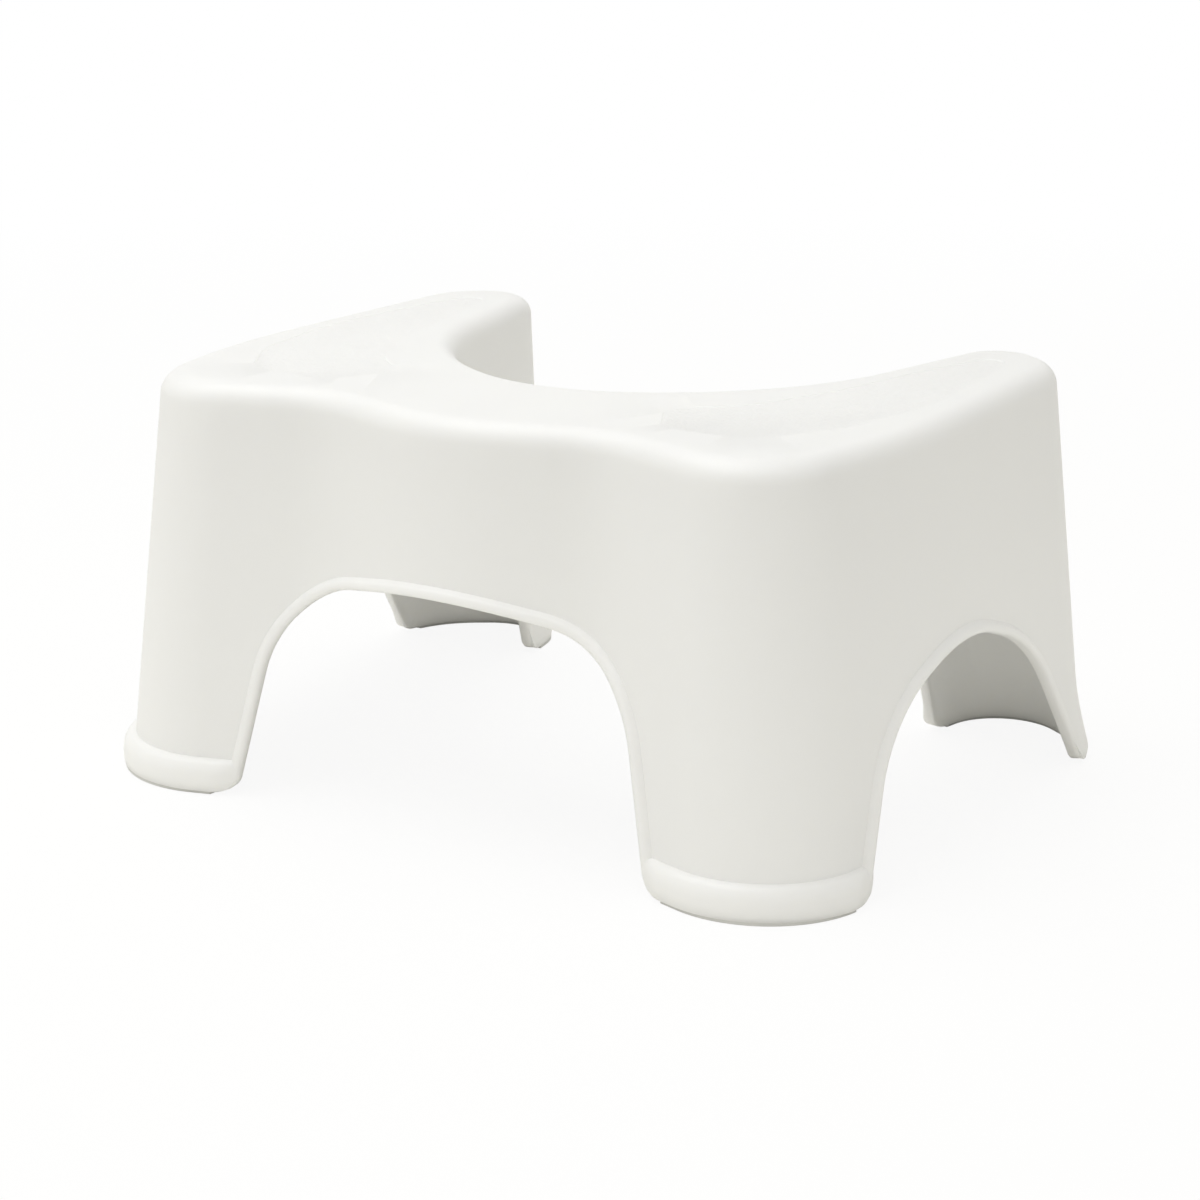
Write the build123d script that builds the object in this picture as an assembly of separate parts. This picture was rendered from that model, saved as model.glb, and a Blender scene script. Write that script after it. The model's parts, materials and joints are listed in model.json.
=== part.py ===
from build123d import *
import math
import os

# Whole stool, in millimetres, with the front towards -Y and the toilet recess towards +Y
height = 180.0
top_half_width = 174.4
top_depth = 281.4

# Moulding: walls that lean out towards the floor, so the mould can draw
wall = 3.0
deck_thickness = 3.5
edge_radius = 9.0
front_spread = 11.0
side_spread = 19.6
tip_spread = 17.5
recess_spread = 3.2

# Corners of the deck seen from above, from the middle of the front to the middle of the recess: across and back from
# the foremost corner, as shares of the half width and depth, then how much of its shorter side each rounding takes
plan_shares = [
    (0.0, 0.022, 0.435),
    (0.395, 0.095, 0.197),
    (0.896, 0.0, 0.479),
    (1.0, 0.329, 0.411),
    (0.964, 0.896, 0.346),
    (0.710, 1.0, 0.557),
    (0.534, 0.476, 0.567),
    (0.0, 0.297, 0.405),
]

# Out-turned rim along the lower edge, and its profile at the feet: up, then out, as shares of its height and reach
arch_rim_width = 5.5
arch_rim_out = 2.6
foot_rim_height = 15.0
foot_rim_out = 5.0
foot_corner_radius = 9.0
foot_rim_shares = [(0.0, 0.8), (0.12, 0.95), (0.35, 1.0), (0.6, 0.96), (0.82, 0.72), (1.0, -0.2)]

# Arches. A leg is measured along the floor from the deck's foremost or rearmost corner, a lean is how far the arch's
# edge draws in between the floor and its shoulder, and a rounding takes a share of the shorter side at its corner
front_arch_half_width = 105.2
front_arch_crown = 108.0
front_arch_crown_rounding_share = 0.366
front_arch_lean = 19.7
front_arch_shoulder_height = 92.9
front_arch_shoulder_rounding_share = 0.441

side_arch_front_leg = 42.1
side_arch_front_lean = 22.2
side_arch_front_shoulder_height = 70.9
side_arch_front_rounding_share = 0.458
side_arch_crown = 92.5
side_arch_crown_share = 0.446
side_arch_crown_rounding_share = 0.460
side_arch_rear_leg = 42.7
side_arch_rear_lean = 45.2
side_arch_rear_shoulder_height = 69.3
side_arch_rear_rounding_share = 0.413

rear_arch_leg = 38.0
rear_arch_lean = 28.8
rear_arch_shoulder_height = 92.0
rear_arch_shoulder_rounding_share = 0.310
rear_arch_crown = 99.0

# Planes that part the walls, as shares of the depth and half width: front wall from recess wall, and that from the
# side walls
front_split_share = 0.178
side_split_share = 0.86

# Ribs under the deck
rib_thickness = 2.2
rib_depth = 16.0
rib_spacing = 46.0
ribs_each_side = 3
long_rib_share = 0.156

# Soft pads under the feet, each held by pegs in blind sockets
pad_thickness = 1.5
pad_inset = 1.2
peg_radius = 1.6
peg_height = 6.0
peg_clearance = 0.15
pegs_per_pad = 3

# Steps in the deck's rounded edge and flats in the hollow's, points tried along a foot, and how far a cut runs past
# what it cuts
rounding_steps = 6
hollow_flats = 3
foot_samples = 720
overrun = 20.0

# Places that follow from the sizes above, measured back from the deck's foremost corner and across from the middle
front_split = top_depth * front_split_share
side_split = top_half_width * side_split_share
side_arch_rear = top_depth - side_arch_rear_leg
rear_arch_foot = top_depth - rear_arch_leg
crown_along = top_depth * side_arch_crown_share


def unit(dx, dy):
    """A step of one along the given direction."""
    length = math.hypot(dx, dy)
    return dx / length, dy / length


def moved_out(points, distances):
    """Corners of a closed outline after each side has moved outwards by its own distance."""
    count = len(points)
    lines = []
    for i in range(count):
        (x0, y0), (x1, y1) = points[i], points[(i + 1) % count]
        ux, uy = unit(x1 - x0, y1 - y0)
        lines.append((x0 + uy * distances[i], y0 - ux * distances[i], ux, uy))
    corners = []
    for i in range(count):
        ax, ay, aux, auy = lines[i - 1]
        bx, by, bux, buy = lines[i]
        along = ((bx - ax) * buy - (by - ay) * bux) / (aux * buy - auy * bux)
        corners.append((ax + aux * along, ay + auy * along))
    return corners


def turns_left(points, i):
    """True where the outline turns left, which is an outward corner."""
    (x0, y0), (x1, y1), (x2, y2) = points[i - 1], points[i], points[(i + 1) % len(points)]
    return (x1 - x0) * (y2 - y1) - (y1 - y0) * (x2 - x1) > 0


def rounded_wire(points, radii, plane):
    """A closed wire of straight sides joined by an arc at each corner that has a radius."""
    starts, middles, ends = [], [], []
    for i, (x, y) in enumerate(points):
        x0, y0 = points[i - 1]
        x1, y1 = points[(i + 1) % len(points)]
        ax, ay = unit(x0 - x, y0 - y)
        bx, by = unit(x1 - x, y1 - y)
        half = math.acos(ax * bx + ay * by) / 2
        reach = radii[i] / math.tan(half)
        mx, my = unit(ax + bx, ay + by)
        middle = radii[i] / math.sin(half) - radii[i]
        starts.append((x + ax * reach, y + ay * reach))
        ends.append((x + bx * reach, y + by * reach))
        middles.append((x + mx * middle, y + my * middle))
    edges = []
    for i in range(len(points)):
        here = plane.from_local_coords(starts[i])
        there = plane.from_local_coords(ends[i])
        if radii[i] > 0:
            edges.append(Edge.make_three_point_arc(here, plane.from_local_coords(middles[i]), there))
        following = plane.from_local_coords(starts[(i + 1) % len(points)])
        edges.append(Edge.make_line(there, following))
    return Wire(edges)


def plan_points():
    """Corners of the deck, all the way round from the middle of the front, and the shares their roundings take."""
    right = [(x * top_half_width, y * top_depth) for x, y, share in plan_shares]
    left = [(-x, y) for x, y in right[-2:0:-1]]
    shares = [share for x, y, share in plan_shares]
    return right + left, shares + shares[-2:0:-1]


def corner_radius(points, i, share):
    """The radius whose arc starts a share of the way along the shorter side at a corner."""
    (x0, y0), (x, y), (x1, y1) = points[i - 1], points[i], points[(i + 1) % len(points)]
    ax, ay = unit(x0 - x, y0 - y)
    bx, by = unit(x1 - x, y1 - y)
    half = math.acos(ax * bx + ay * by) / 2
    return share * min(math.hypot(x0 - x, y0 - y), math.hypot(x1 - x, y1 - y)) * math.tan(half)


def section(level, out=0.0):
    """The outline of the skirt at a height, moved outwards by a distance."""
    points, shares = plan_points()
    fall = (height - level) / height
    spreads = [front_spread] * 2 + [side_spread] * 2 + [tip_spread] + [recess_spread] * 2
    corners = moved_out(points, [spread * fall + out for spread in spreads + spreads[::-1]])
    radii = [corner_radius(corners, i, share) for i, share in enumerate(shares)]
    return rounded_wire(corners, radii, Plane.XY.offset(level))


def skirt(low, high, out=0.0):
    """A solid block that fills the skirt's outline between two heights."""
    return Solid.make_loft([section(low, out), section(high, out)], ruled=True)


def domed_skirt(high, out, radius, steps, faceted):
    """The skirt's block from under the feet up to a height, with its top edge rounded over, in flats or smoothly."""
    start = high - radius
    rows = []
    for step in range(steps + 1):
        turn = math.pi / 2 * step / steps
        rows.append(section(start + radius * math.sin(turn), out - radius * (1 - math.cos(turn))))
    cap = Solid.make_loft(rows, ruled=faceted)
    return skirt(pad_thickness, start, out) + cap


def prism(points, radii, plane, start, end):
    """An outline in a plane, drawn out along the plane's normal from one distance to another."""
    face = Face(rounded_wire(points, radii, plane.offset(start)))
    return Solid.extrude(face, plane.z_dir * (end - start))


def opening(points, radii, grow):
    """An arch's outline widened by a margin: its foot corners, shoulders and crown, then round below the floor."""
    turn = [radius if turns_left(points, i) else -radius for i, radius in enumerate(radii)]
    widened = moved_out(points, [grow] * len(points))
    return widened, [max(size + grow, 0.0) if size > 0 else max(-size - grow, 0.0) for size in turn]


def arch_outline(feet, shoulders, crown, shares, grow):
    """An arch seen square on, anticlockwise: it runs out flat under the feet, so their corners come out round."""
    left, right = feet
    points = [(left - overrun, -overrun), (right + overrun, -overrun), (right + overrun, pad_thickness),
              (right, pad_thickness), shoulders[1], crown, shoulders[0], (left, pad_thickness),
              (left - overrun, pad_thickness)]
    right_shoulder, top, left_shoulder = (corner_radius(points, 4 + i, share) for i, share in enumerate(shares))
    radii = [0.0, 0.0, 0.0, foot_corner_radius, right_shoulder, top, left_shoulder, foot_corner_radius, 0.0]
    return opening(points, radii, grow)


def front_arch(grow=0.0):
    """The opening through the front wall."""
    across, up = front_arch_half_width - front_arch_lean, front_arch_shoulder_height
    shoulder_share = front_arch_shoulder_rounding_share
    points, radii = arch_outline(
        (-front_arch_half_width, front_arch_half_width), ((-across, up), (across, up)), (0.0, front_arch_crown),
        (shoulder_share, front_arch_crown_rounding_share, shoulder_share), grow)
    return [prism(points, radii, Plane.XZ, -front_split, overrun + overrun)]


def side_arches(grow=0.0):
    """The openings through the two side walls."""
    points, radii = arch_outline(
        (side_arch_front_leg, side_arch_rear),
        ((side_arch_front_leg + side_arch_front_lean, side_arch_front_shoulder_height),
         (side_arch_rear - side_arch_rear_lean, side_arch_rear_shoulder_height)),
        (crown_along, side_arch_crown),
        (side_arch_rear_rounding_share, side_arch_crown_rounding_share, side_arch_front_rounding_share), grow)
    reach = top_half_width + side_spread + overrun
    right = prism(points, radii, Plane.YZ, side_split, reach)
    return [right, right.mirror(Plane.YZ)]


def rear_arch(grow=0.0):
    """The opening through the recess wall, from one wing's leg round to the other's."""
    outline = [(front_split, -overrun), (rear_arch_foot + overrun, -overrun),
               (rear_arch_foot + overrun, pad_thickness), (rear_arch_foot, pad_thickness),
               (rear_arch_foot - rear_arch_lean, rear_arch_shoulder_height), (front_split, rear_arch_crown)]
    shoulder = corner_radius(outline, 4, rear_arch_shoulder_rounding_share)
    points, radii = opening(outline, [0.0, 0.0, 0.0, foot_corner_radius, shoulder, 0.0], grow)
    return [prism(points, radii, Plane.YZ, -side_split, side_split)]


def foot_block():
    """The skirt's lowest band, swelling out into the rounded rim of the feet."""
    rows = [section(pad_thickness + foot_rim_height * up, foot_rim_out * out) for up, out in foot_rim_shares]
    return Solid.make_loft(rows, ruled=False)


def arch_rims():
    """The rolled rim that follows each arch, standing out from the wall."""
    flare = skirt(pad_thickness, height - edge_radius, arch_rim_out)
    bands = front_arch(arch_rim_width) + side_arches(arch_rim_width) + rear_arch(arch_rim_width)
    return [flare & band for band in bands]


def cavity():
    """The hollow under the deck."""
    return domed_skirt(height - deck_thickness, -wall, edge_radius - wall, hollow_flats, True)


def ribs(hollow):
    """Stiffening ribs that hang from the deck into the hollow."""
    middle = height - deck_thickness - rib_depth / 2
    span = top_depth + top_depth
    slabs = []
    for i in range(-ribs_each_side, ribs_each_side + 1):
        slabs.append(Pos(i * rib_spacing, 0.0, middle) * Box(rib_thickness, span, rib_depth))
    slabs.append(Pos(0.0, top_depth * long_rib_share, middle) * Box(span, rib_thickness, rib_depth))
    return [slab & hollow for slab in slabs]


def in_foot(x, y):
    """True where a place on the skirt's lower edge is on a foot, clear of the arches."""
    margin = foot_corner_radius + pad_inset
    beside_front = y > front_split or abs(x) > front_arch_half_width + margin
    beside_side = abs(x) < side_split or not side_arch_front_leg - margin < y < side_arch_rear + margin
    beside_rear = abs(x) > side_split or y < front_split or y > rear_arch_foot + margin
    return beside_front and beside_side and beside_rear


def foot_places():
    """Places along the middle line of each foot, in order, by the foot's name."""
    line = section(pad_thickness, (foot_rim_out - wall) / 2)
    walk = [line.position_at(i / foot_samples) for i in range(foot_samples)]
    feet = {"front_left": [], "front_right": [], "rear_left": [], "rear_right": []}
    for place in walk:
        if in_foot(place.X, place.Y):
            end = "rear_" if place.Y > crown_along else "front_"
            feet[end + ("right" if place.X > 0 else "left")].append(place)
    return feet


def pegs(radius, tall):
    """Upright pegs evenly spaced along each foot, by the foot's name."""
    groups = {}
    for name, places in foot_places().items():
        spots = [places[int(len(places) * (i + 0.5) / pegs_per_pad)] for i in range(pegs_per_pad)]
        groups[name] = [Pos(spot.X, spot.Y, pad_thickness + tall / 2) * Cylinder(radius, tall) for spot in spots]
    return groups


def block(x0, x1, y0, y1):
    """A cutter that spans the pads' height."""
    tall = pad_thickness + overrun + overrun
    return Pos((x0 + x1) / 2, (y0 + y1) / 2, pad_thickness / 2) * Box(x1 - x0, y1 - y0, tall)


def foot_pads():
    """The four curved strips, with their pegs, by the foot's name."""
    rim_out = foot_rim_out * foot_rim_shares[0][1]
    ring = Face(section(pad_thickness, rim_out - pad_inset)) - Face(section(pad_thickness, pad_inset - wall))
    strip = Solid.extrude(ring.faces()[0], Vector(0.0, 0.0, -pad_thickness))
    margin = foot_corner_radius + pad_inset
    front = front_arch_half_width + margin
    reach = top_half_width + side_spread + overrun
    low, high = side_arch_front_leg - margin, side_arch_rear + margin
    strip = strip - block(-front, front, -overrun - overrun, front_split)
    strip = strip - block(side_split, reach, low, high)
    strip = strip - block(-reach, -side_split, low, high)
    strip = strip - block(-side_split, side_split, front_split, rear_arch_foot + margin)
    posts = pegs(peg_radius, peg_height)
    pads = {}
    for piece in strip.solids():
        centre = piece.center()
        name = "rear_" if centre.Y > crown_along else "front_"
        name += "right" if centre.X > 0 else "left"
        for post in posts[name]:
            piece = piece + post
        pads[name] = piece
    return pads


def stool_shell():
    """The whole moulding."""
    hollow = cavity()
    body = domed_skirt(height, 0.0, edge_radius, rounding_steps, False) + foot_block()
    for rim in arch_rims():
        body = body + rim
    body = body - hollow
    for arch in front_arch() + side_arches() + rear_arch():
        body = body - arch
    for rib in ribs(hollow):
        body = body + rib
    for sockets in pegs(peg_radius + peg_clearance, peg_height + peg_clearance).values():
        for socket in sockets:
            body = body - socket
    return body


# The origin is under the middle of the whole footprint, on the floor
footprint = foot_block().bounding_box()
centring = Pos(0.0, -(footprint.min.Y + footprint.max.Y) / 2, 0.0)

os.makedirs("parts", exist_ok=True)
shell = centring * stool_shell()
export_step(shell, "parts/stool_shell.step")
for pad_name, pad in foot_pads().items():
    export_step(centring * pad, "parts/foot_pad_" + pad_name + ".step")
print("centring", centring.position, "shell", shell.bounding_box())
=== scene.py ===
import json
import math

import bmesh
import bpy
from mathutils import Matrix, Vector

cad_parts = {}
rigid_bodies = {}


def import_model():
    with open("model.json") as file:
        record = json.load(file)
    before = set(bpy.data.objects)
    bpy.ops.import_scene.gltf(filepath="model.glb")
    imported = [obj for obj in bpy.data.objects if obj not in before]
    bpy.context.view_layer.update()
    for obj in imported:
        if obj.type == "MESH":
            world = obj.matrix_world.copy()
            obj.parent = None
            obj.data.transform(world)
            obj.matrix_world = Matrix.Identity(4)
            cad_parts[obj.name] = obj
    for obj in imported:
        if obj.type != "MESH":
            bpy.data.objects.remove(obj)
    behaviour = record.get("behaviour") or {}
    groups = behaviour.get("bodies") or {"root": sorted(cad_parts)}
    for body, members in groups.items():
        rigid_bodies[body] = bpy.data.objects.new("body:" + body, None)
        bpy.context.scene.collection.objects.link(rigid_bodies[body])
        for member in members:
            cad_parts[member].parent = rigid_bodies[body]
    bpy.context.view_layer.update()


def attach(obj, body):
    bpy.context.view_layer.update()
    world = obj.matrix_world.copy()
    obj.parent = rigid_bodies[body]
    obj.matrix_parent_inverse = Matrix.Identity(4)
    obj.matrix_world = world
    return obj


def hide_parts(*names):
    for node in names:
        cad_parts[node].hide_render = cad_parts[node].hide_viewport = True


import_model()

# Moulded shell: one injection moulding in white polypropylene, about 3 mm thick, drafted so it leaves the mould.
# The deck, walls, four legs, arches and rolled rims are all one piece. The skin is shaped first, closed into a wall,
# then the arches are cut through it and their rims are laid along the cut edges.
MM = 0.001
HEIGHT, DEPTH, HALF_WIDTH = 180.0 * MM, 281.4 * MM, 174.4 * MM
# The right half of the deck: each corner's place as shares of the half width and depth, and how much it is rounded.
PLAN = [(0.0, 0.022, 0.435), (0.395, 0.095, 0.197), (0.896, 0.0, 0.479), (1.0, 0.329, 0.411),
        (0.964, 0.896, 0.346), (0.710, 1.0, 0.557), (0.534, 0.476, 0.567), (0.0, 0.297, 0.405)]
SIDES = ["front", "front", "side", "side", "tip", "recess", "recess"]
SPREAD = {"front": 11.0 * MM, "side": 19.6 * MM, "tip": 17.5 * MM, "recess": 3.2 * MM}


def moved_out(points, distances):
    """Corners of a closed outline after each side has moved outwards by its own distance."""
    sides = []
    for i, (x, y) in enumerate(points):
        along = Vector(points[(i + 1) % len(points)]) - Vector((x, y))
        along.normalize()
        sides.append((Vector((x, y)) + Vector((along.y, -along.x)) * distances[i], along))
    corners = []
    for i in range(len(points)):
        (a, u), (b, v) = sides[i - 1], sides[i]
        reach = ((b.x - a.x) * v.y - (b.y - a.y) * v.x) / (u.x * v.y - u.y * v.x)
        corners.append(a + u * reach)
    return corners


def arc_points(before, corner, after, radius, count):
    """Points of the arc that rounds a corner, from its start to its end."""
    a, b = (before - corner).normalized(), (after - corner).normalized()
    half = a.angle(b) / 2
    if radius <= 0.0 or count < 1:
        return [corner.copy()]
    start, end = corner + a * (radius / math.tan(half)), corner + b * (radius / math.tan(half))
    centre = corner + (a + b).normalized() * (radius / math.sin(half))
    sweep = (start - centre).angle_signed(end - centre)
    spoke = start - centre
    turns = [Matrix.Rotation(-sweep * k / count, 2) for k in range(count + 1)]
    return [centre + turn @ spoke for turn in turns]


def plan_corners(level, out):
    """The skirt's corners at a height, moved outwards by a distance, and the radii that round them."""
    right = [(x * HALF_WIDTH, y * DEPTH) for x, y, share in PLAN]
    corners = right + [(-x, y) for x, y in right[-2:0:-1]]
    shares = [share for x, y, share in PLAN]
    shares += shares[-2:0:-1]
    names = SIDES + SIDES[::-1]
    fall = (HEIGHT - level) / HEIGHT
    corners = moved_out(corners, [SPREAD[name] * fall + out for name in names])
    radii = []
    for i, corner in enumerate(corners):
        a, b = corners[i - 1] - corner, corners[(i + 1) % len(corners)] - corner
        radii.append(shares[i] * min(a.length, b.length) * math.tan(a.angle(b) / 2))
    return corners, radii


PLAN_STEP = 2.2 * MM


def plan_counts():
    """How many steps each rounding and each straight takes, from the outline at the floor."""
    corners, radii = plan_corners(0.0, 0.0)
    rounds, straights, reaches = [], [], []
    for i, corner in enumerate(corners):
        a, b = corners[i - 1] - corner, corners[(i + 1) % len(corners)] - corner
        half = a.angle(b) / 2
        reaches.append(radii[i] / math.tan(half))
        rounds.append(max(4, round(radii[i] * (math.pi - 2 * half) / PLAN_STEP)))
    for i, corner in enumerate(corners):
        following = (i + 1) % len(corners)
        side = (corners[following] - corner).length - reaches[i] - reaches[following]
        straights.append(max(1, round(side / PLAN_STEP)))
    return rounds, straights


ROUNDS, STRAIGHTS = plan_counts()
AROUND = sum(ROUNDS) + sum(STRAIGHTS)


def outline(level, out=0.0):
    """Points all the way round the skirt at a height, the same number at every height."""
    corners, radii = plan_corners(level, out)
    arcs = []
    for i, corner in enumerate(corners):
        arcs.append(arc_points(corners[i - 1], corner, corners[(i + 1) % len(corners)], radii[i], ROUNDS[i]))
    points = []
    for i, arc in enumerate(arcs):
        points += arc
        following = arcs[(i + 1) % len(arcs)][0]
        points += [arc[-1].lerp(following, k / STRAIGHTS[i]) for k in range(1, STRAIGHTS[i])]
    return points


# Feet: the wall ends 1.5 mm above the floor, on the pads. A front foot has a thick rounded band that stands out from
# the wall, and a rear foot flares out slowly. The stool is centred on the floor by its feet.
LEVEL, FOOT_HEIGHT, FOOT_OUT = 1.5 * MM, 14.0 * MM, 5.0 * MM
FLARE_OUT, FLARE_RISE, TUCK_RISE = 4.2 * MM, 2.4, 0.3
FULL_FROM, FULL_TO, BOTTOM_SHARE = 0.35, 0.55, 0.8
EASE = 12 * MM
FRONT_FOOT, FRONT_LEAN, SHOULDER = 105.2 * MM, 19.7 * MM, 92.9 * MM
SIDE_FRONT, SIDE_REAR = 42.1 * MM, DEPTH - 42.7 * MM
FRONT_SPLIT, SIDE_SPLIT, CROWN_ALONG = 0.178 * DEPTH, 0.86 * HALF_WIDTH, 0.446 * DEPTH
FOOTPRINT = [point.y for point in outline(LEVEL + 0.3 * FOOT_HEIGHT, FOOT_OUT)]
MIDDLE = (min(FOOTPRINT) + max(FOOTPRINT)) / 2


def smooth(value):
    """Eases from 0 to 1 as a value goes from 0 to 1."""
    value = min(max(value, 0.0), 1.0)
    return value * value * (3.0 - 2.0 * value)


def foot_swell(point, level):
    """How far a foot stands out from the wall at a place. The band eases down beside the arches."""
    up = (level - LEVEL) / FOOT_HEIGHT
    if point.y > CROWN_ALONG:
        flare = max(1.0 - up / FLARE_RISE, 0.0) ** 1.5
        return FLARE_OUT * flare * (0.7 + 0.3 * math.sin(math.pi / 2 * min(up / TUCK_RISE, 1.0)))
    if up > 1.0:
        return 0.0
    lean = FRONT_LEAN * (level - LEVEL) / SHOULDER
    if point.y < FRONT_SPLIT and abs(point.x) < SIDE_SPLIT:
        clear = abs(point.x) - FRONT_FOOT + lean
    else:
        clear = SIDE_FRONT - point.y + lean
    if up < FULL_FROM:
        band = BOTTOM_SHARE + (1.0 - BOTTOM_SHARE) * math.sin(math.pi / 2 * up / FULL_FROM)
    else:
        band = math.sqrt(max(1.0 - (max(up - FULL_TO, 0.0) / (1.0 - FULL_TO)) ** 2, 0.0))
    return FOOT_OUT * band * (0.5 + 0.5 * smooth(clear / EASE))


def sleeve(around, rows, place):
    """A band of quads wrapped round on itself, each corner placed by its column and row."""
    mesh = bmesh.new()
    bmesh.ops.create_grid(mesh, x_segments=around, y_segments=rows - 1, size=1.0)
    for vert in mesh.verts:
        column, row = round((vert.co.x + 1.0) / 2 * around), round((vert.co.y + 1.0) / 2 * (rows - 1))
        vert.co = place(column % around, row)
    bmesh.ops.remove_doubles(mesh, verts=mesh.verts, dist=0.001 * MM)
    bmesh.ops.holes_fill(mesh, edges=[edge for edge in mesh.edges if edge.is_boundary], sides=0)
    bmesh.ops.recalc_face_normals(mesh, faces=mesh.faces)
    return mesh


def levels(high, low, step):
    """Evenly spaced heights from one to another."""
    count = max(1, round(abs(low - high) / step))
    return [high + (low - high) * k / count for k in range(count + 1)]


def rounding(level, out, radius, steps):
    """Rows over a rounded top edge, from the flat top down to the wall."""
    turns = [math.pi / 2 * k / steps for k in range(steps, -1, -1)]
    return [(level - radius + radius * math.sin(t), out - radius * (1 - math.cos(t))) for t in turns]


# Wall: 3 mm thick under a 3.5 mm deck, with a 9 mm rounding between them. Rows of the outer skin run down from the
# deck, close together round the top of the foot bands, and rows of the lining run back up inside.
WALL, DECK, EDGE = 3.0 * MM, 3.5 * MM, 9.0 * MM
BAND_TOP = LEVEL + FOOT_HEIGHT
CREASE = BAND_TOP - 2 * MM
skin = [(HEIGHT, -EDGE - 2 * MM)] + rounding(HEIGHT, 0.0, EDGE, 10)
for high, low, step in ((HEIGHT - EDGE, BAND_TOP, 7 * MM), (BAND_TOP, CREASE, 0.35 * MM), (CREASE, LEVEL, 1.1 * MM)):
    skin += [(level, 0.0) for level in levels(high, low, step)[1:]]
lining = [(level, -WALL) for level in levels(LEVEL, HEIGHT - EDGE + WALL - DECK, 10 * MM)]
lining += rounding(HEIGHT - DECK, -WALL, EDGE - WALL, 5)[-2::-1]
rows = skin + lining
rings = [outline(level, out) for level, out in rows]


def wall_place(column, row):
    """Where a corner of the shell's skin or lining lies."""
    level, out = rows[row]
    point = rings[row][column]
    if out == 0.0 and level < 3 * BAND_TOP:
        ahead, behind = rings[row][(column + 1) % AROUND], rings[row][column - 1]
        along = (ahead - behind).normalized()
        point = point + Vector((along.y, -along.x)) * foot_swell(point, level)
    return Vector((point.x, point.y - MIDDLE, level))


def to_object(mesh, name):
    """A mesh object at the origin."""
    data = bpy.data.meshes.new(name)
    mesh.to_mesh(data)
    mesh.free()
    made = bpy.data.objects.new(name, data)
    bpy.context.collection.objects.link(made)
    return made


shell = to_object(sleeve(AROUND, len(rows), wall_place), "shell")

# Arches: a wide one in front, one in each side and one that runs right round the recess. Each leaves its feet flat,
# turns up through a small rounding, and leans in to its shoulders. They are cut straight through the wall.
RUN, FOOT_ROUND, GROW = 20 * MM, 9.0 * MM, 1.0 * MM
REAR_FOOT, REAR_LEAN, REAR_SHOULDER, REAR_CROWN = DEPTH - 38.0 * MM, 28.8 * MM, 92.0 * MM, 99.0 * MM


def arch_corners(left, right, shoulders, crown):
    """Corners of an arch that runs out flat under its two feet, anticlockwise from below the floor."""
    return [(left - RUN, -RUN), (right + RUN, -RUN), (right + RUN, LEVEL), (right, LEVEL),
            shoulders[1], crown, shoulders[0], (left, LEVEL), (left - RUN, LEVEL)]


FRONT_ARCH = arch_corners(-FRONT_FOOT, FRONT_FOOT, [(FRONT_LEAN - FRONT_FOOT, SHOULDER),
                          (FRONT_FOOT - FRONT_LEAN, SHOULDER)], (0.0, 108.0 * MM))
FRONT_RADII = [0.0, 0.0, 0.0, FOOT_ROUND, 57 * MM, 180 * MM, 57 * MM, FOOT_ROUND, 0.0]
SIDE_ARCH = arch_corners(SIDE_FRONT, SIDE_REAR, [(SIDE_FRONT + 22.2 * MM, 70.9 * MM),
                         (SIDE_REAR - 45.2 * MM, 69.3 * MM)], (CROWN_ALONG, 92.5 * MM))
SIDE_RADII = [0.0, 0.0, 0.0, FOOT_ROUND, 88 * MM, 86 * MM, 60 * MM, FOOT_ROUND, 0.0]
REAR_ARCH = [(FRONT_SPLIT, -RUN), (REAR_FOOT + RUN, -RUN), (REAR_FOOT + RUN, LEVEL), (REAR_FOOT, LEVEL),
             (REAR_FOOT - REAR_LEAN, REAR_SHOULDER), (FRONT_SPLIT, REAR_CROWN)]
REAR_RADII = [0.0, 0.0, 0.0, FOOT_ROUND, 42 * MM, 0.0]


def arch_edge(corners, radii, grow, steps=14):
    """An arch's edge seen square on: its sides moved out by a margin, its corners rounded."""
    margins = [0.0, 0.0, 0.0] + [grow] * (4 if len(corners) > 6 else 2) + [0.0, 0.0]
    moved = moved_out(corners, margins[:len(corners)])
    points = []
    for i, corner in enumerate(moved):
        before, after = moved[i - 1], moved[(i + 1) % len(moved)]
        inward = (before - corner).cross(after - corner) > 0
        radius = 0.0 if radii[i] == 0.0 else radii[i] + (-grow if inward else grow)
        points += arc_points(before, corner, after, radius, steps if radius else 0)
    return points


def across(point, depth):
    """A place on an upright drawing that faces the front, at a distance back."""
    return Vector((point[0], depth - MIDDLE, point[1]))


def along(point, depth):
    """A place on an upright drawing that faces the side, at a distance to the right."""
    return Vector((depth, point[0] - MIDDLE, point[1]))


def cutter(points, stand, start, end):
    """A block of an upright outline, drawn out from one distance to another."""
    mesh = bmesh.new()
    face = [mesh.faces.new([mesh.verts.new(stand(point, start)) for point in points])]
    drawn = bmesh.ops.extrude_face_region(mesh, geom=face)["geom"]
    shift = stand(points[0], end) - stand(points[0], start)
    bmesh.ops.translate(mesh, verts=[part for part in drawn if isinstance(part, bmesh.types.BMVert)], vec=shift)
    bmesh.ops.recalc_face_normals(mesh, faces=mesh.faces)
    return mesh


def joined(meshes, name):
    """One object that holds several meshes."""
    whole = bmesh.new()
    for mesh in meshes:
        data = bpy.data.meshes.new(name)
        mesh.to_mesh(data)
        mesh.free()
        whole.from_mesh(data)
        bpy.data.meshes.remove(data)
    return to_object(whole, name)


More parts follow.
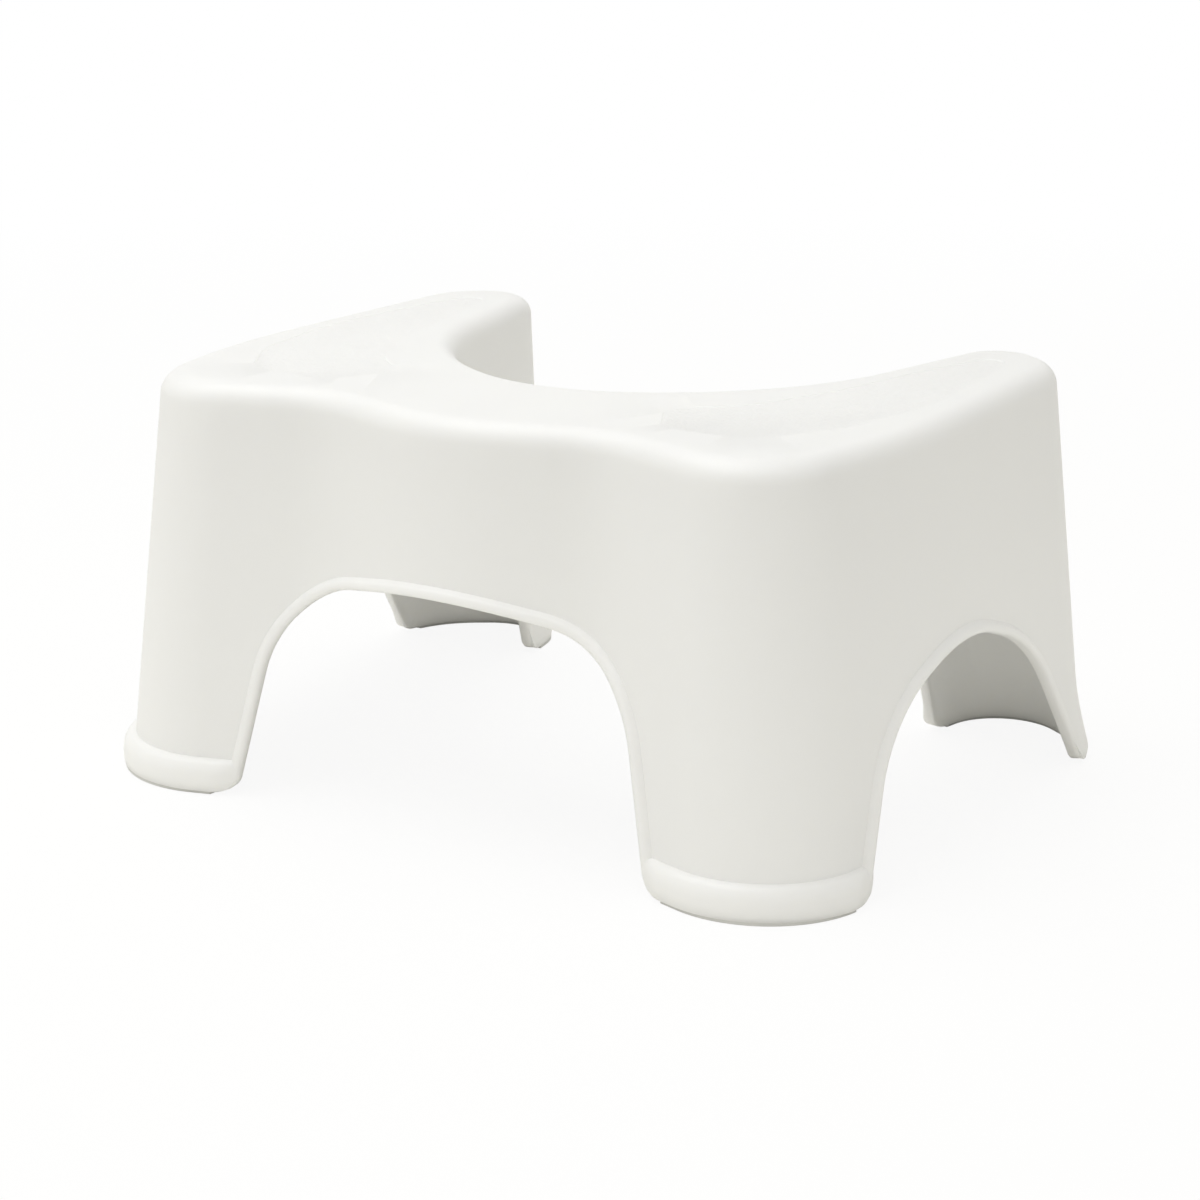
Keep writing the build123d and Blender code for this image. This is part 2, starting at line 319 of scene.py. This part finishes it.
def in_order(data):
    """Sorts a mesh's corners, edges and faces by place, because a cut or weld leaves them in no fixed order."""
    mesh = bmesh.new()
    mesh.from_mesh(data)
    for parts, place in ((mesh.verts, lambda vert: tuple(vert.co)),
                         (mesh.edges, lambda edge: sorted(vert.index for vert in edge.verts)),
                         (mesh.faces, lambda face: sorted(vert.index for vert in face.verts))):
        ranks = {part: rank for rank, part in enumerate(sorted(parts, key=place))}
        parts.sort(key=ranks.get)
        parts.index_update()
    mesh.to_mesh(data)
    mesh.free()


def combine(target, other, operation, crossing):
    """Cuts one object out of another or welds it on, and uses it up."""
    tool = target.modifiers.new(other.name, "BOOLEAN")
    tool.operation, tool.solver, tool.object, tool.use_self = operation, "EXACT", other, crossing
    graph = bpy.context.evaluated_depsgraph_get()
    result = bpy.data.meshes.new_from_object(target.evaluated_get(graph))
    in_order(result)
    target.modifiers.clear()
    target.data = result
    bpy.data.objects.remove(other)


reach = HALF_WIDTH + SPREAD["side"] + RUN
front_edge = arch_edge(FRONT_ARCH, FRONT_RADII, GROW)
side_edge = arch_edge(SIDE_ARCH, SIDE_RADII, GROW)
rear_edge = arch_edge(REAR_ARCH, REAR_RADII, GROW)
arches = [cutter(front_edge, across, -2 * RUN, FRONT_SPLIT - GROW), cutter(side_edge, along, SIDE_SPLIT + GROW, reach),
          cutter(side_edge, along, -reach, -SIDE_SPLIT - GROW), cutter(rear_edge, along, -SIDE_SPLIT, SIDE_SPLIT)]
combine(shell, joined(arches, "arches"), "DIFFERENCE", False)

# Rims: the cut edge of every arch is rolled outwards into a rounded lip, 5.5 mm wide, that stiffens the wall. It is
# laid along the arch's edge on the wall's face and runs out a little way along each foot.
RIM_WIDTH, RIM_OUT, TAIL = 5.5 * MM, 2.6 * MM, 7 * MM
LIP = [(1.05, -0.12), (1.0, 0.06), (0.88, 0.34), (0.74, 0.72), (0.6, 0.93), (0.44, 1.0), (0.27, 0.97), (0.12, 0.83),
       (0.03, 0.58), (0.0, 0.25)]
INNER = [(0.0, -0.5), (0.03, -0.88), (0.12, -1.04), (0.42, -1.04), (0.56, -0.9)]
OUTWARD = {"front": Vector((0, -1)), "side": Vector((1, 0)), "recess": Vector((-1, 0.2)), "deep": Vector((0, 1))}


def wall_strip(kind, level):
    """The points of one part of the skirt at a height, in order, and the axis that orders them."""
    ring = outline(level)
    if kind == "front":
        strip, axis = [p for p in ring if p.y < FRONT_SPLIT and abs(p.x) < SIDE_SPLIT], 0
    elif kind == "side":
        strip, axis = [p for p in ring if p.x > SIDE_SPLIT], 1
    else:
        right_half = ring[:AROUND // 2 + 40]
        strip = [p for p in right_half if FRONT_SPLIT < p.y < REAR_FOOT + 15 * MM and -20 * MM < p.x < SIDE_SPLIT]
        strip = [p for p in strip if p.x < 135 * MM or p.y < REAR_FOOT]
        axis = 1 if kind == "recess" else 0
    return sorted(strip, key=lambda p: p[axis]), axis


def wall_point(kind, value, level):
    """A place on the wall's face given by its distance across or along, and the face's outward direction."""
    found = []
    for height in (level, level + MM):
        strip, axis = wall_strip(kind, height)
        keys = [p[axis] for p in strip]
        k = max(1, min(len(keys) - 1, sum(key < value for key in keys)))
        share = (value - keys[k - 1]) / (keys[k] - keys[k - 1])
        found.append((strip[k - 1].lerp(strip[k], share), (strip[k] - strip[k - 1]).normalized()))
    (low, tangent), (high, _) = found
    face = Vector((tangent.y, -tangent.x))
    if face.dot(OUTWARD[kind]) < 0:
        face = -face
    normal = Vector((face.x, face.y, -(high - low).dot(face) / MM)).normalized()
    return Vector((low.x, low.y - MIDDLE, level)), normal


def edge_path(points):
    """The part of an arch's edge that shows, in even steps from one foot to the other."""
    shown = [p for p in points if p[1] >= LEVEL - 0.01 * MM]
    path = []
    for a, b in zip(shown, shown[1:]):
        count = max(1, round((b - a).length / (2 * MM)))
        path += [a.lerp(b, k / count) for k in range(count)]
    return path + [shown[-1]]


def mirrored(places):
    """The same places on the other side of the stool."""
    return [(Vector((-p.x, p.y, p.z)), Vector((-n.x, n.y, n.z))) for p, n in places]


def rim_mesh(places):
    """A rolled rim laid along an arch's edge on the wall."""
    profile = [(w * RIM_WIDTH, o * RIM_OUT) for w, o in LIP] + [(w * RIM_WIDTH, o * WALL) for w, o in INNER]
    spots = []
    for i, (point, normal) in enumerate(places):
        before, after = places[max(i - 1, 0)][0], places[min(i + 1, len(places) - 1)][0]
        heading = (after - before).normalized()
        spots.append((point, normal, normal.cross(heading).normalized()))
    crown = max(spots, key=lambda spot: spot[0].z)
    sign = 1.0 if crown[2].z > 0 else -1.0

    def place(column, row):
        point, normal, inward = spots[row]
        w, o = profile[column]
        ease = smooth(min(row, len(spots) - 1 - row) / 8)
        return point + inward * (sign * w * (0.75 + 0.25 * ease)) + normal * (o * (0.6 + 0.4 * ease) if o > 0 else o)

    return sleeve(len(profile), len(spots), place)


front_path = [p for p in edge_path(arch_edge(FRONT_ARCH, FRONT_RADII, 0.0)) if abs(p[0]) < FRONT_FOOT + TAIL]
side_path = [p for p in edge_path(arch_edge(SIDE_ARCH, SIDE_RADII, 0.0))
             if SIDE_FRONT - TAIL < p[0] < SIDE_REAR + TAIL]
rear_path = [p for p in edge_path(arch_edge(REAR_ARCH, REAR_RADII, 0.0)) if p[0] < REAR_FOOT + TAIL]
front_places = [wall_point("front", p[0], p[1]) for p in front_path]
side_places = [wall_point("side", p[0], p[1]) for p in side_path]

# Behind the deepest part of the recess the rear arch's edge runs across, and its height follows its slow slope.
DEEP, DEEP_STEPS = 140 * MM, 60
wing = [wall_point("recess", p[0], p[1]) for p in rear_path if p[0] > DEEP]
crown_slope = (REAR_CROWN - REAR_SHOULDER) / (REAR_FOOT - REAR_LEAN - FRONT_SPLIT)
deep = []
for k in range(1, DEEP_STEPS):
    level = REAR_CROWN
    for _ in range(4):
        place = wall_point("deep", wing[-1][0].x * (1 - k / DEEP_STEPS), level)
        level = REAR_CROWN - crown_slope * (place[0].y + MIDDLE - FRONT_SPLIT)
    deep.append(place)
half = wing + deep
parts = [rim_mesh(front_places), rim_mesh(side_places), rim_mesh(half + mirrored(half)[::-1]),
         rim_mesh(mirrored(side_places))]

# Ribs: thin moulded webs under the deck, seven from front to back and one across, from wall to wall. Their upper
# corners follow the hollow's rounding. They and the rims are welded to the wall.
RIB_DEPTH, RIB, RIB_CORNER = 16.0 * MM, 2.2 * MM, 7 * MM
RIB_SPACING, CROSS_RIB = 46.0 * MM, 0.156 * DEPTH
SLIVER = 0.01 * MM


def rib_edge(start, end):
    """A rib's outline seen from its side."""
    low, high = HEIGHT - DECK - RIB_DEPTH, HEIGHT - DECK + 0.5 * MM
    return [(start, low), (end, low), (end, high - RIB_CORNER), (end - RIB_CORNER, high), (start + RIB_CORNER, high),
            (start, high - RIB_CORNER)]


def wall_to_wall(axis, place):
    """Where a rib meets the walls: the first two crossings of the wall's middle line."""
    ring = outline(HEIGHT - DECK - RIB_DEPTH / 2, -WALL / 2)
    found = []
    for before, after in zip(ring, ring[1:] + ring[:1]):
        if (before[axis] - place) * (after[axis] - place) < 0:
            share = (place - before[axis]) / (after[axis] - before[axis])
            found.append(before.lerp(after, share)[1 - axis])
    return sorted(found)[:2]


for i in range(-3, 4):
    x = RIB_SPACING * i
    parts.append(cutter(rib_edge(*wall_to_wall(0, x)), along, x - RIB / 2, x + RIB / 2))
parts.append(cutter(rib_edge(*wall_to_wall(1, CROSS_RIB)), across, CROSS_RIB - RIB / 2, CROSS_RIB + RIB / 2))
combine(shell, joined(parts, "rims_and_ribs"), "UNION", True)
whole = bmesh.new()
whole.from_mesh(shell.data)
bmesh.ops.remove_doubles(whole, verts=whole.verts, dist=SLIVER)
bmesh.ops.dissolve_degenerate(whole, edges=whole.edges, dist=SLIVER)

# Non-slip patches: a shallow sunk field on each wing of the deck, with a stipple from the mould. Each corner is given
# across, along and by the radius of its rounding, in millimetres, on the right wing.
PATCH = [(66, -60, 14), (84, -93, 14), (126, -93, 30), (150, -52, 60), (158, 2, 90), (153, 66, 60), (146, 100, 12),
         (134, 100, 12), (122, 56, 60), (111, 6, 50), (92, -42, 50)]
PATCH_DEPTH, PATCH_SLOPE = 0.35 * MM, 0.5 * MM


def patch_ring(side, inset, level):
    """The outline of a wing's patch, drawn in by a distance, at a height."""
    corners = moved_out([(x * MM, y * MM) for x, y, radius in PATCH], [-inset] * len(PATCH))
    points = []
    for i, corner in enumerate(corners):
        before, after = corners[i - 1], corners[(i + 1) % len(corners)]
        a, b = before - corner, after - corner
        radius = min(PATCH[i][2] * MM, 0.45 * min(a.length, b.length) * math.tan(a.angle(b) / 2))
        points += arc_points(before, corner, after, radius, 8)
    return [whole.verts.new((side * x, y, level)) for x, y in points]


deck = max((face for face in whole.faces if face.normal.z > 0.99), key=lambda face: face.calc_area())
border = list(deck.edges)
bmesh.ops.delete(whole, geom=[deck], context="FACES_ONLY")
for side in (1, -1):
    upper, lower = patch_ring(side, 0.0, HEIGHT), patch_ring(side, PATCH_SLOPE, HEIGHT - PATCH_DEPTH)
    loops = [[whole.edges.new((ring[i - 1], ring[i])) for i in range(len(ring))] for ring in (upper, lower)]
    border += loops[0]
    bmesh.ops.bridge_loops(whole, edges=loops[0] + loops[1])
    patch = whole.faces.new(lower if side == 1 else lower[::-1])
    patch.material_index = 1
bmesh.ops.triangle_fill(whole, use_beauty=True, edges=border, normal=(0.0, 0.0, 1.0))
bmesh.ops.recalc_face_normals(whole, faces=whole.faces)
for face in whole.faces:
    face.smooth = True
for edge in whole.edges:
    edge.smooth = not edge.is_manifold or edge.calc_face_angle() < math.radians(32)
whole.to_mesh(shell.data)
whole.free()


class Signal:
    """A shader socket that takes part in sums."""

    def __init__(self, finish, socket):
        self.finish, self.socket = finish, socket

    def sum(self, operation, a, b):
        return self.finish.node("ShaderNodeMath", {"operation": operation}, {0: a, 1: b})

    def __add__(self, other):
        return self.sum("ADD", self, other)

    def __sub__(self, other):
        return self.sum("SUBTRACT", self, other)

    def __rsub__(self, other):
        return self.sum("SUBTRACT", other, self)

    def __mul__(self, other):
        return self.sum("MULTIPLY", self, other)

    __radd__, __rmul__ = __add__, __mul__


class Finish:
    """A material, and the nodes that make its surface."""

    def __init__(self, name):
        self.material = bpy.data.materials.new(name)
        self.material.use_nodes = True
        self.tree = self.material.node_tree
        self.surface = self.tree.nodes["Principled BSDF"]

    def node(self, kind, settings, sockets, output=0):
        """Adds a node: its settings first, then the values or links of its sockets."""
        made = self.tree.nodes.new(kind)
        for name, value in settings.items():
            setattr(made, name, value)
        for name, value in sockets.items():
            self.feed(made.inputs[name], value)
        return Signal(self, made.outputs[output])

    def feed(self, socket, value):
        """Links a signal to a socket, or sets its value."""
        if isinstance(value, Signal):
            self.tree.links.new(value.socket, socket)
        else:
            socket.default_value = value

    def set(self, **sockets):
        """Sets or links sockets of the surface, with a space written as an underscore."""
        for name, value in sockets.items():
            self.feed(self.surface.inputs[name.replace("_", " ")], value)

    def place(self):
        return self.node("ShaderNodeTexCoord", {}, {}, "Object")

    def cloud(self, scale):
        """Soft mottling with a number of patches to the metre."""
        return self.node("ShaderNodeTexNoise", {}, {"Vector": self.place(), "Scale": scale, "Detail": 2.0})

    def blend(self, share, one, other):
        return self.node("ShaderNodeMix", {"data_type": "RGBA"}, {"Factor": share, 6: one, 7: other}, 2)

    def relief(self, height, depth, strength):
        return self.node("ShaderNodeBump", {}, {"Height": height, "Distance": depth, "Strength": strength})


def moulded_white(name):
    """White polypropylene from a lightly polished mould: satin, faintly warm, a little light passing through it."""
    finish = Finish(name)
    tone = finish.blend(finish.cloud(7.0), (0.93, 0.928, 0.905, 1.0), (0.95, 0.948, 0.928, 1.0))
    finish.set(Base_Color=tone, Roughness=finish.cloud(55.0) * 0.12 + 0.4, IOR=1.49)
    finish.set(Subsurface_Weight=0.7, Subsurface_Scale=0.006, Subsurface_Radius=(1.0, 0.99, 0.95))
    return finish


skin_finish = moulded_white("moulded_white")
skin_grain = skin_finish.cloud(1400.0) * 0.4 + skin_finish.cloud(110.0) * 0.6
skin_finish.set(Normal=skin_finish.relief(skin_grain, 0.12 * MM, 0.35))
shell.data.materials.append(skin_finish.material)

grip_finish = moulded_white("grip_white")
cells = grip_finish.node("ShaderNodeTexVoronoi", {"feature": "SMOOTH_F1"},
                         {"Vector": grip_finish.place(), "Scale": 420.0, "Smoothness": 0.3, "Randomness": 0.55})
grip_finish.set(Normal=grip_finish.relief(1.0 - cells, 0.45 * MM, 0.8), Roughness=0.58)
shell.data.materials.append(grip_finish.material)

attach(shell, "root")
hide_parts("stool_shell")


# Soft pads: a curved strip of pale grey thermoplastic rubber under each foot, pushed up into blind sockets in the rim
# by its pegs. It keeps its shape from the frame and gets a matt, faintly dusty finish.
pad_finish = Finish("soft_rubber")
pad_tone = pad_finish.blend(pad_finish.cloud(90.0), (0.66, 0.66, 0.64, 1.0), (0.76, 0.76, 0.74, 1.0))
pad_finish.set(Base_Color=pad_tone, Roughness=pad_finish.cloud(300.0) * 0.15 + 0.62, IOR=1.5)
pad_finish.set(Normal=pad_finish.relief(pad_finish.cloud(1500.0), 0.1 * MM, 0.4))
for corner in ("front_left", "front_right", "rear_left", "rear_right"):
    pad = bpy.data.objects["foot_pad_" + corner]
    pad.data.materials.clear()
    pad.data.materials.append(pad_finish.material)

# Studio floor: a wide pale sheet that the camera sees as nearly white. It keeps the stool's shadow near it, and fades
# to plain white further out.
floor_mesh = bmesh.new()
bmesh.ops.create_circle(floor_mesh, cap_ends=True, segments=64, radius=9.0)
floor = to_object(floor_mesh, "floor")
floor_finish = Finish("floor_paper")
floor_finish.set(Base_Color=(0.97, 0.96, 0.915, 1.0), Roughness=0.9, Specular_IOR_Level=0.1)
glow = floor_finish.node("ShaderNodeEmission", {}, {"Color": (1.0, 1.0, 1.0, 1.0), "Strength": 1.0})
seen = floor_finish.node("ShaderNodeLightPath", {}, {}, "Is Camera Ray")
plain = Signal(floor_finish, floor_finish.surface.outputs[0])
away = floor_finish.node("ShaderNodeVectorMath", {"operation": "LENGTH"}, {0: floor_finish.place()}, 1)
fade = floor_finish.node("ShaderNodeMapRange", {}, {"Value": away, "From Min": 0.5, "From Max": 1.6, "To Min": 0.9})
mixed = floor_finish.node("ShaderNodeMixShader", {}, {0: seen * fade, 1: plain, 2: glow})
floor_finish.feed(floor_finish.tree.nodes["Material Output"].inputs["Surface"], mixed)
floor.data.materials.append(floor_finish.material)

# Daylight: soft faintly warm light from all round. The camera sees plain white instead of it.
world = bpy.data.worlds.new("daylight")
bpy.context.scene.world = world
world.use_nodes = True
sky = world.node_tree
day = sky.nodes["Background"]
white = sky.nodes.new("ShaderNodeBackground")
for background, colour, strength in ((day, (1.0, 0.99, 0.95, 1.0), 0.65), (white, (1.0, 1.0, 1.0, 1.0), 1.0)):
    background.inputs["Color"].default_value = colour
    background.inputs["Strength"].default_value = strength
rays = sky.nodes.new("ShaderNodeLightPath")
choose = sky.nodes.new("ShaderNodeMixShader")
sky.links.new(rays.outputs["Is Camera Ray"], choose.inputs[0])
sky.links.new(day.outputs[0], choose.inputs[1])
sky.links.new(white.outputs[0], choose.inputs[2])
sky.links.new(choose.outputs[0], sky.nodes["World Output"].inputs["Surface"])


def facing(place, target):
    """The turn that points a lamp or camera from its place to a target."""
    return (Vector(target) - Vector(place)).to_track_quat("-Z", "Y").to_euler()


# Softbox: one large soft lamp above the stool, a little to the left and front.
lamp = bpy.data.lights.new("softbox", "AREA")
lamp.color = (0.98, 0.99, 1.0)
lamp.shape, lamp.size, lamp.size_y, lamp.energy = "RECTANGLE", 1.6, 1.3, 15.0
softbox = bpy.data.objects.new("softbox", lamp)
softbox.location = (-0.4, -0.3, 1.75)
softbox.rotation_euler = facing(softbox.location, (0.0, 0.0, 0.1))
bpy.context.collection.objects.link(softbox)

# Camera: at the right front and above the deck, where the photograph was taken from.
lens = bpy.data.cameras.new("camera")
lens.lens, lens.sensor_width = 86.67, 36.0
camera = bpy.data.objects.new("camera", lens)
camera.location = (0.6683, -1.0520, 0.4399)
camera.rotation_euler = facing(camera.location, (0.0004, -0.0061, 0.0733))
bpy.context.collection.objects.link(camera)
bpy.context.scene.camera = camera
bpy.context.scene.view_settings.view_transform = "Standard"
